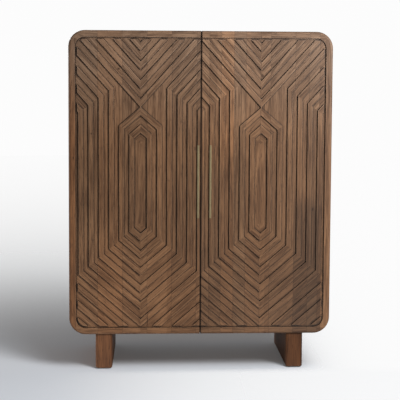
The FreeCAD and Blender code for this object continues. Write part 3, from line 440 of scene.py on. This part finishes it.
# fade: the height where a tone starts to change, where it stops, and its share below and above. The narrow
# strip darkens the edges where the doors meet: painted shade that stands in for the shade in the gap between
# them
oddStaves = [
    {"from": 0.363, "to": 0.472, "fade": (0.62, 0.72, 1.0, 0.0), "tint": (0.62, 0.62, 0.64, 1.0)},
    {"from": 0.25, "to": 0.472, "fade": (0.78, 1.0, 1.0, 0.0), "tint": (0.85, 0.84, 0.84, 1.0)},
    {"from": 0.127, "to": 0.363, "fade": (0.3, 0.6, 1.0, 0.0), "tint": (0.82, 0.81, 0.81, 1.0)},
    {"from": 0.0, "to": 0.127, "fade": (0.4, 0.66, 1.0, 0.0), "tint": (0.86, 0.85, 0.85, 1.0)},
    {"from": 0.0, "to": 0.062, "fade": (0.7, 0.95, 0.0, 1.0), "tint": (1.2, 1.15, 1.08, 1.0)},
    {"from": 0.062, "to": 0.127, "fade": (0.7, 0.95, 0.0, 1.0), "tint": (1.42, 1.36, 1.27, 1.0)},
    {"from": 0.127, "to": 0.19, "fade": (0.7, 0.95, 0.0, 1.0), "tint": (1.1, 1.09, 1.08, 1.0)},
    # painted shade in the gap where the doors meet
    {"from": -0.003, "to": 0.0045, "fade": (0.0, 0.1, 1.0, 1.0), "tint": (0.32, 0.29, 0.27, 1.0)},
    {"from": -0.13, "to": 0.0, "fade": (0.85, 1.25, 1.0, 0.0), "tint": (0.86, 0.84, 0.82, 1.0)},
    {"from": -0.482, "to": -0.24, "fade": (0.25, 0.64, 1.0, 0.0), "tint": (1.32, 1.28, 1.24, 1.0)},
    {"from": -0.24, "to": 0.0, "fade": (0.25, 0.64, 1.0, 0.0), "tint": (1.18, 1.15, 1.12, 1.0)},
    {"from": -0.51, "to": -0.482, "fade": (0.9, 1.3, 1.0, 0.0), "tint": (1.2, 1.04, 0.89, 1.0)},
]
# a crack, then knots: the place of each on the doors, and half its width and height
doorFlaws = [(-0.205, 0.2, 0.0016, 0.028), (-0.3163, 1.174, 0.0055, 0.0045), (-0.4203, 0.926, 0.004, 0.004),
             (-0.4896, 0.8326, 0.003, 0.005), (0.236, 1.151, 0.005, 0.007), (0.4375, 0.634, 0.0035, 0.007)]
# On the doors the painted shade reaches further into the carved corners, the painted highlight on the arrises
# is wider and stronger, and the tint toward the top is painted light from above
carvedStaves = dict(walnut, cornerSize=0.010, cornerShade=0.95, cornerShadeColour=paint(30, 16, 8), wearAndHighlight=0.6, edgeSize=0.0024,
                    paintedTopLight={"tint": (1.18, 1.38, 1.76, 1.0), "rise": (0.84, 1.3)}, oddStaves=oddStaves,
                    flaws=doorFlaws)
wideBoard = dict(walnut, staveWidth=3.0, firstJoint=-1.4, seed=9.0)
legBoard = dict(wideBoard, seed=2.0, dark=paint(86, 52, 30), pale=paint(143, 95, 59))
# The right leg's wood is a darker copy of the left leg's: painted shade
legBoardPaintedShade = dict(legBoard, dark=paint(75, 44, 24), pale=paint(124, 79, 46))
insideBoard = dict(walnut, firstJoint=0.02, seed=6.0, dark=paint(104, 78, 58), pale=paint(166, 136, 108),
                   cornerShade=0.3)
rackBoard = dict(insideBoard, staveWidth=3.0, firstJoint=-1.4)
backPly = dict(insideBoard, staveWidth=0.31, firstJoint=0.06, seed=12.0, spread=0.25, bump=0.2)
finishes = {
    "carvedWood": woodMaterial("carvedWood", "xyz", carvedStaves),
    "panelWoodUpright": woodMaterial("panelWoodUpright", "yxz", walnut),
    "panelWoodFlat": woodMaterial("panelWoodFlat", "yzx", walnut),
    "cornerWood": woodMaterial("cornerWood", "xzy", wideBoard),
    "legWood": woodMaterial("legWood", "xyz", legBoard),
    "legWoodPaintedShade": woodMaterial("legWoodPaintedShade", "xyz", legBoardPaintedShade),
    "shelfWood": woodMaterial("shelfWood", "yzx", insideBoard),
    "partitionWood": woodMaterial("partitionWood", "yxz", insideBoard),
    "rackWood": woodMaterial("rackWood", "xzy", rackBoard),
    "backWood": woodMaterial("backWood", "xyz", backPly),
}


def metalMaterial(name, order, metal):
    material, tree, shader = blankMaterial(name)
    drawn = useGroup(tree, metalGroup, {
        "Place": turnedPlace(tree, order), "Bright": metal["bright"], "Tarnish": metal["tarnish"],
        "Tarnish Share": metal["tarnishShare"], "Base Roughness": metal["rough"]})
    edges = useGroup(tree, wearHighlightShadeGroup, {
        "Colour": drawn["Colour"], "Worn Lit Colour": metal["wornLitColour"], "Wear And Highlight": metal["wearAndHighlight"],
        "Corner Shade Colour": metal["tarnish"], "Corner Shade": metal["cornerShade"], "Edge Size": metal["edgeSize"],
        "Corner Size": metal["cornerSize"]})
    tree.links.new(edges["Colour"], shader.inputs["Base Color"])
    tree.links.new(drawn["Roughness"], shader.inputs["Roughness"])
    shader.inputs["Metallic"].default_value = metal["metallic"]
    roughen(tree, shader, drawn["Height"], metal["bump"], metal["bumpDepth"])
    return material


# The pulls' arrises go paler, wear and a painted highlight, and their inside corners go toward the tarnish
# colour, which is patina held in the hollows and painted shade
agedBrass = {"bright": paint(156, 143, 112), "tarnish": paint(114, 101, 74), "tarnishShare": 0.5,
             "rough": 0.4, "wornLitColour": paint(206, 194, 156), "metallic": 0.8, "wearAndHighlight": 0.6, "cornerShade": 0.6,
             "edgeSize": 0.0007, "cornerSize": 0.003, "bump": 0.2, "bumpDepth": 0.0002}
satinBrass = dict(agedBrass, bright=paint(186, 158, 104), tarnishShare=0.35, rough=0.3)
zincSteel = dict(agedBrass, bright=paint(196, 194, 188), tarnish=paint(108, 106, 102), rough=0.32,
                 wornLitColour=paint(226, 226, 222), metallic=1.0)
finishes["handleBrass"] = metalMaterial("handleBrass", "xyz", agedBrass)
finishes["hingeBrass"] = metalMaterial("hingeBrass", "xyz", satinBrass)
finishes["screwSteel"] = metalMaterial("screwSteel", "xyz", zincSteel)

mouldedLook = {"spark": 1400.0, "smear": 60.0, "from": 0.4, "to": 0.7, "smeared": 0.25, "dull": 0.15,
               "rough": 0.45, "wearAndHighlight": 0.5, "cornerShade": 0.2, "edgeSize": 0.0008, "cornerSize": 0.003,
               "bump": 0.25, "bumpDepth": 0.0002}


# Moulded plastic: fine spark texture, paler where it scuffs; its arrises go paler too, wear and a painted
# highlight, and its inside corners take a little painted shade
def plasticMaterial(name, body, scuff):
    material, tree, shader = blankMaterial(name)
    look, spot = mouldedLook, objectSpot(tree)
    sparks = cloudy(tree, spot, look["spark"], 2.0, 0.6)
    smear = ramp(tree, cloudy(tree, spot, look["smear"], 3.0, 0.6), look["from"], look["to"])
    colour = stain(tree, sums(tree, "MULTIPLY", smear, look["smeared"]), body, scuff)
    edges = useGroup(tree, wearHighlightShadeGroup, {
        "Colour": colour, "Worn Lit Colour": scuff, "Wear And Highlight": look["wearAndHighlight"], "Corner Shade Colour": body, "Corner Shade": look["cornerShade"],
        "Edge Size": look["edgeSize"], "Corner Size": look["cornerSize"]})
    tree.links.new(edges["Colour"], shader.inputs["Base Color"])
    tree.links.new(sums(tree, "MULTIPLY_ADD", smear, look["dull"], look["rough"]), shader.inputs["Roughness"])
    roughen(tree, shader, sparks, look["bump"], look["bumpDepth"])
    return material


finishes["catchPlastic"] = plasticMaterial("catchPlastic", paint(74, 56, 44), paint(120, 98, 80))
finishes["glidePlastic"] = plasticMaterial("glidePlastic", paint(36, 35, 34), paint(92, 90, 88))
print("materials ready:", len(finishes))


def clearSelection():
    if bpy.context.object and bpy.context.object.mode != "OBJECT":
        bpy.ops.object.mode_set(mode="OBJECT")
    bpy.ops.object.select_all(action="DESELECT")


def takeUp(piece):
    clearSelection()
    piece.select_set(True)
    bpy.context.view_layer.objects.active = piece


# Lengths in metres, angles in degrees
handWork = {"merge": 0.000004, "flatWithin": 0.4, "smoothWithin": 38, "faceWeight": 100,
            "plain": {"segments": 2, "fromAngle": 28}, "driven": {"segments": 1, "fromAngle": 40}}


# A merged copy of a node's solid, its flat faces cleaned, ready to be worked on
def mergedCopy(nodeName, name):
    piece = bpy.data.objects.new(name, frame["nodes"][nodeName].data.copy())
    bpy.context.scene.collection.objects.link(piece)
    piece.data.materials.clear()
    takeUp(piece)
    bpy.ops.object.mode_set(mode="EDIT")
    bpy.ops.mesh.select_all(action="SELECT")
    bpy.ops.mesh.remove_doubles(threshold=handWork["merge"])
    bpy.ops.mesh.customdata_custom_splitnormals_clear()
    bpy.ops.mesh.dissolve_limited(angle_limit=math.radians(handWork["flatWithin"]))
    bpy.ops.object.mode_set(mode="OBJECT")
    return piece


# Breaks the arrises by a small width, shades the rest smooth and keeps the large faces flat
def breakArrises(piece, width, segments, fromAngle):
    takeUp(piece)
    bevel = piece.modifiers.new("brokenArris", "BEVEL")
    bevel.width, bevel.segments = width, segments
    bevel.limit_method, bevel.angle_limit = "ANGLE", math.radians(fromAngle)
    bevel.use_clamp_overlap, bevel.miter_outer = True, "MITER_SHARP"
    bpy.ops.object.modifier_apply(modifier=bevel.name)
    bpy.ops.object.shade_smooth_by_angle(angle=math.radians(handWork["smoothWithin"]))
    flat = piece.modifiers.new("flatFaces", "WEIGHTED_NORMAL")
    flat.keep_sharp, flat.weight = True, handWork["faceWeight"]
    bpy.ops.object.modifier_apply(modifier=flat.name)
    return piece


bodyOf = {node: body for body, members in frame["record"]["behaviour"]["bodies"].items() for node in members}


# Gives a finished piece its finish and its body, and hides the node it stands for
def hand(piece, nodeName, finish):
    piece.data.materials.append(finishes[finish])
    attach(piece, bodyOf[nodeName])
    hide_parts(nodeName)


# What each piece gets: the width of its broken arris, in metres, and its finish
joinery = {
    "left_door": (0.0006, "carvedWood"), "right_door": (0.0006, "carvedWood"),
    "top_panel": (0.0008, "panelWoodFlat"), "bottom_panel": (0.0008, "panelWoodFlat"),
    "left_side_panel": (0.0008, "panelWoodUpright"), "right_side_panel": (0.0008, "panelWoodUpright"),
    "top_left_corner_block": (0.0008, "cornerWood"), "top_right_corner_block": (0.0008, "cornerWood"),
    "bottom_left_corner_block": (0.0008, "cornerWood"), "bottom_right_corner_block": (0.0008, "cornerWood"),
    "left_leg": (0.0010, "legWood"), "right_leg": (0.0010, "legWoodPaintedShade"),
    "serving_shelf": (0.0010, "shelfWood"), "loose_shelf": (0.0012, "shelfWood"),
    "partition": (0.0010, "partitionWood"), "anchor_rail": (0.0010, "shelfWood"),
    "rising_rack_board": (0.0009, "rackWood"), "falling_rack_board": (0.0009, "rackWood"),
    "stem_slats": (0.0012, "rackWood"), "stem_spacers": (0.0008, "rackWood"),
    "corner_splines": (0.0004, "rackWood"), "back_panel": (0.0006, "backWood"),
}
smallParts = {
    "catch_housings": (0.0007, "catchPlastic"), "catch_magnets": (0.0004, "screwSteel"),
    "floor_glides": (0.0010, "glidePlastic"), "shelf_pins": (0.0005, "screwSteel"),
    "leg_inserts": (0.0004, "screwSteel"),
}
# fittings that each door has of its own
fittings = {
    "handle_bar": (0.0012, "handleBrass"), "handle_posts": (0.0005, "handleBrass"),
    "hinge_case_leaves": (0.0004, "hingeBrass"), "hinge_door_leaves": (0.0004, "hingeBrass"),
    "hinge_pins": (0.0005, "hingeBrass"), "strike_plate": (0.00015, "screwSteel"),
}
sides = ("left", "right")
plainPieces = dict(joinery, **smallParts)
for side in sides:
    plainPieces.update({f"{side}_{part}": work for part, work in fittings.items()})
for nodeName, (arris, finish) in plainPieces.items():
    piece = breakArrises(mergedCopy(nodeName, nodeName + "_dressed"), arris, **handWork["plain"])
    hand(piece, nodeName, finish)
print("dressed pieces:", len(plainPieces))


# Lowest and highest corner of each loose solid in a merged piece
def solidBoxes(piece):
    shape = bmesh.new()
    shape.from_mesh(piece.data)
    boxes, seen = [], set()
    for first in shape.verts:
        if first in seen:
            continue
        reach, waiting = [], [first]
        seen.add(first)
        while waiting:
            corner = waiting.pop()
            reach.append(corner.co.copy())
            for edge in corner.link_edges:
                other = edge.other_vert(corner)
                if other not in seen:
                    seen.add(other)
                    waiting.append(other)
        boxes.append((Vector(map(min, zip(*reach))), Vector(map(max, zip(*reach)))))
    shape.free()
    return boxes


# One driver tip per kind of head, pointing down its own axis from the origin
driverTips = {
    "cross": {"length": 0.0042, "width": 0.0011, "depth": 0.0013, "taper": 0.55},
    "hex": {"across": 0.0050, "depth": 0.0032},
    "firstTurn": 23, "nextTurn": 47, "arris": 0.00015,  # neighbours aren't driven home at one angle
}


def crossTip(size):
    halves = []
    for turn in (0, 90):
        clearSelection()
        bpy.ops.mesh.primitive_cube_add(size=1, location=(0, 0, 0))
        half = bpy.context.object
        half.scale = (size["length"], size["width"], 2 * size["depth"])
        half.rotation_euler = (0, 0, math.radians(turn))
        bpy.ops.object.transform_apply(location=True, rotation=True, scale=True)
        bpy.ops.object.mode_set(mode="EDIT")
        bpy.ops.mesh.select_mode(type="FACE")
        bpy.ops.mesh.select_all(action="DESELECT")
        shape = bmesh.from_edit_mesh(half.data)
        for face in shape.faces:
            face.select_set(face.normal.z < -0.9)  # the end face
        bmesh.update_edit_mesh(half.data)
        taper = (size["taper"], size["taper"], 1)
        bpy.ops.transform.resize(value=taper, center_override=(0, 0, -size["depth"]))
        bpy.ops.object.mode_set(mode="OBJECT")
        halves.append(half)
    return halves


def hexTip(size):
    clearSelection()
    radius = size["across"] / math.sqrt(3)
    bpy.ops.mesh.primitive_cylinder_add(vertices=6, radius=radius, depth=2 * size["depth"])
    return [bpy.context.object]


tipMakers = {"cross": crossTip, "hex": hexTip}
headTurns = {"+y": -90, "-y": 90, "+z": 0, "-z": 180}  # about X, from a head that faces up


# Cuts a driver recess into the head of every screw of a node
def recessHeads(nodeName, faces, tip):
    piece = mergedCopy(nodeName, nodeName + "_driven")
    axis, sign = "xyz".index(faces[1]), faces[0]
    turn = Matrix.Rotation(math.radians(headTurns[faces]), 4, "X")
    for number, (low, high) in enumerate(solidBoxes(piece)):
        head = (low + high) / 2
        head[axis] = high[axis] if sign == "+" else low[axis]
        angle = driverTips["firstTurn"] + driverTips["nextTurn"] * number
        spin = Matrix.Rotation(math.radians(angle), 4, "Z")
        for half in tipMakers[tip](driverTips[tip]):
            half.data.transform(Matrix.Translation(head) @ turn @ spin)
            cut = piece.modifiers.new("recess", "BOOLEAN")
            cut.operation, cut.solver, cut.object = "DIFFERENCE", "EXACT", half
            takeUp(piece)
            bpy.ops.object.modifier_apply(modifier=cut.name)
            bpy.data.objects.remove(half, do_unlink=True)
    return breakArrises(piece, driverTips["arris"], **handWork["driven"])


# Which way the heads of a node face, and the tip that drives them
screwHeads = {
    "back_screws": ("+y", "cross"), "stem_screws": ("-z", "cross"), "catch_screws": ("-z", "cross"),
    "leg_bolts": ("+z", "hex"),
}
for side in sides:
    screwHeads[f"{side}_hinge_case_screws"] = ("-y", "cross")
    for part in ("hinge_door_screws", "handle_screws", "strike_screw"):
        screwHeads[f"{side}_{part}"] = ("+y", "cross")
for nodeName, (faces, tip) in screwHeads.items():
    hand(recessHeads(nodeName, faces, tip), nodeName, "screwSteel")
print("driven screws and bolts:", len(screwHeads))


# Stage: a pale floor that turns to white further off, a white backdrop, and soft lamps. A lamp has a place,
# or a turn, rise and distance from what it aims at
warmWhite, softWhite, coolWhite = (1.0, 0.96, 0.9), (1.0, 0.98, 0.95), (0.9, 0.96, 1.0)
overhead = {"place": (0.8, -1.6, 2.8), "aim": (0.1, -0.1, 1.0), "size": 1.5, "colour": coolWhite}
studio = {
    "sky": 0.2, "backdrop": 0.975, "aim": (0, -0.2, 0.7),
    "carving": {"turn": 42, "rise": 4, "distance": 3.6, "size": 0.4, "power": 44, "colour": warmWhite},
    "legs": {"turn": 4, "rise": 14, "distance": 3.6, "size": 0.6, "power": 69, "colour": warmWhite},
    "floor": {"turn": 40, "rise": 36, "distance": 4.2, "size": 1.6, "power": 110, "colour": (1.0, 1.0, 1.0)},
    "upper": {"turn": 46, "rise": 10, "aim": (0.15, -0.2, 1.25), "distance": 2.3, "size": 0.3, "power": 56,
              "colour": (1.0, 0.97, 0.92)},
    "ceiling": dict(overhead, power=6),
    "rear": {"place": (-1.4, 2.6, 1.9), "aim": (0, 0.2, 0.75), "size": 1.6, "power": 60, "colour": softWhite},
    "leftSide": {"place": (-3.0, 0.6, 1.2), "aim": (-0.5, 0.0, 0.7), "size": 1.4, "power": 45,
                 "colour": softWhite},
    "fill": dict(overhead, power=38),
    "bounce": {"place": (0.4, -0.64, 0.03), "aim": (0.1, -0.2, 0.45), "size": 0.5, "power": 0.6,
               "colour": warmWhite},
}
# From: where the floor starts to turn to white on that side, in metres; fast and slow: how quickly it does
paleFloor = {"colour": paint(226, 229, 235), "radius": 14.0, "corners": 96, "rough": 0.75, "gloss": 0.2,
             "whole": 0.945, "leftFrom": 0.45, "leftSlow": 0.57, "rightFrom": 0.38, "rightFast": 13.0,
             "behindFrom": 0.2, "besideCase": (0.4, 0.6), "frontFrom": -0.65, "frontFast": 1.86,
             "farFrom": 1.25, "farFast": 2.2, "frontEdge": (-0.26, -0.14)}


# The floor is whole near the cabinet and turns to white further off: soon on the right, slowly on the left,
# and in front of the doors from left to right and with the distance. This whitening is painted light: it
# brightens the floor most on the right and in front, where the light falls, and least on the left, where the
# cabinet's shadow lies, and since the floor is never quite whole, a little white also lightens the shade
# under the cabinet
def makeFloor():
    clearSelection()
    bpy.ops.mesh.primitive_circle_add(vertices=paleFloor["corners"], radius=paleFloor["radius"],
                                      fill_type="NGON", location=(0, 0, 0))
    floor = bpy.context.object
    floor.name = "studio_floor"
    material, tree, shader = blankMaterial("paleFloor")
    along = apartXyz(tree, objectSpot(tree))

    def past(value, start):
        return sums(tree, "MAXIMUM", sums(tree, "SUBTRACT", value, start), 0.0)

    def reach(one, other):
        squares = sums(tree, "ADD", sums(tree, "POWER", one, 2.0), sums(tree, "POWER", other, 2.0))
        return sums(tree, "SQRT", squares)

    left = past(sums(tree, "MULTIPLY", along[0], -1.0), paleFloor["leftFrom"])
    right = past(along[0], paleFloor["rightFrom"])
    beside = ramp(tree, sums(tree, "ABSOLUTE", along[0]), *paleFloor["besideCase"])
    behind = sums(tree, "MULTIPLY", past(along[1], paleFloor["behindFrom"]), beside)
    back = sums(tree, "MULTIPLY_ADD", right, paleFloor["rightFast"],
                sums(tree, "MULTIPLY", reach(left, behind), paleFloor["leftSlow"]))
    front = sums(tree, "MULTIPLY", past(along[0], paleFloor["frontFrom"]), paleFloor["frontFast"])
    far = past(reach(along[0], along[1]), paleFloor["farFrom"])
    front = sums(tree, "MULTIPLY_ADD", far, paleFloor["farFast"], front)
    before = ramp(tree, along[1], *paleFloor["frontEdge"], 1.0, 0.0)
    away = sums(tree, "ADD", sums(tree, "MULTIPLY", front, before),
                sums(tree, "MULTIPLY", back, sums(tree, "SUBTRACT", 1.0, before)))
    away = sums(tree, "POWER", away, 2.0)
    shader.inputs["Base Color"].default_value = paleFloor["colour"]
    shader.inputs["Roughness"].default_value = paleFloor["rough"]
    shader.inputs["Specular IOR Level"].default_value = paleFloor["gloss"]
    feed(tree, shader.inputs["Alpha"], sums(tree, "DIVIDE", paleFloor["whole"], sums(tree, "ADD", 1.0, away)))
    floor.data.materials.append(material)
    floor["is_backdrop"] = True
    return floor


# The sky lights softly and looks white to the camera
def makeSky():
    world = bpy.data.worlds.new("studioSky")
    bpy.context.scene.world = world
    world.use_nodes = True
    tree = world.node_tree
    tree.nodes.clear()
    seen = put(tree, "LightPath").outputs["Is Camera Ray"]
    level = sums(tree, "MULTIPLY_ADD", seen, studio["backdrop"] - studio["sky"], studio["sky"])
    sky = put(tree, "Background", None, {"Color": (1, 1, 1, 1), "Strength": level})
    tree.links.new(sky.outputs[0], put(tree, "OutputWorld").inputs["Surface"])


# A lamp lights only the things in onlyOn, and only those in shadowsOf block it
def softLight(name, lamp, onlyOn, shadowsOf):
    light = bpy.data.lights.new(name, "AREA")
    light.shape, light.size, light.energy, light.color = "DISK", lamp["size"], lamp["power"], lamp["colour"]
    holder = bpy.data.objects.new(name, light)
    bpy.context.scene.collection.objects.link(holder)
    aim = Vector(lamp.get("aim", studio["aim"]))
    if "place" in lamp:
        holder.location = lamp["place"]
    else:
        turn, rise = math.radians(lamp["turn"]), math.radians(lamp["rise"])
        holder.location = aim + lamp["distance"] * Vector((math.cos(rise) * math.sin(turn),
                                                           -math.cos(rise) * math.cos(turn), math.sin(rise)))
    holder.rotation_euler = (aim - holder.location).to_track_quat("-Z", "Y").to_euler()
    holder.visible_camera = False
    for ending, pieces in (("receiver", onlyOn), ("blocker", shadowsOf)):
        group = bpy.data.collections.new(f"{name}_{ending}")
        for piece in pieces:
            group.objects.link(piece)
        setattr(holder.light_linking, ending + "_collection", group)


floor = makeFloor()
makeSky()
legs = [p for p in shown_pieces() if "_leg" in p.name]
others = [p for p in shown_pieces() if p not in legs]
shading = [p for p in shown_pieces() if "handle_" not in p.name]  # the pulls cast no shadow on the carving
crown = [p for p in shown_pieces() if p.name.startswith("top_")]  # kept off the upper lamp, which would glare
softLight("carving_light", studio["carving"], others, shading)
softLight("upper_light", studio["upper"], [p for p in others if p not in crown], shading)
softLight("leg_light", studio["legs"], legs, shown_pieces())
softLight("floor_light", studio["floor"], [floor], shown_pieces())
softLight("ceiling_light", studio["ceiling"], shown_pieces(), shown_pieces())
softLight("rear_light", studio["rear"], others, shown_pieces())
softLight("left_side_light", studio["leftSide"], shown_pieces(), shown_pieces())
softLight("floor_fill", studio["fill"], [floor] + crown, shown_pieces())
softLight("floor_bounce", studio["bounce"], others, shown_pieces())
bpy.context.scene.view_settings.view_transform = "Standard"

# Camera, as found from the lines of the case and the legs in the photograph
shot = {"place": (-0.1923, -4.0416, 1.0726), "yaw": 2.817, "pitch": 4.136, "roll": 0.295, "sensor": 36,
        "lens": 90, "drop": -0.08}
camera = bpy.data.objects.new("photo_camera", bpy.data.cameras.new("photo_camera"))
bpy.context.scene.collection.objects.link(camera)
camera.location = shot["place"]
camera.rotation_euler = (Matrix.Rotation(math.radians(-shot["yaw"]), 3, "Z")
                         @ Matrix.Rotation(math.radians(90 - shot["pitch"]), 3, "X")
                         @ Matrix.Rotation(math.radians(shot["roll"]), 3, "Z")).to_euler()
camera.data.sensor_width, camera.data.lens, camera.data.shift_y = shot["sensor"], shot["lens"], shot["drop"]
bpy.context.scene.camera = camera
print("studio ready")
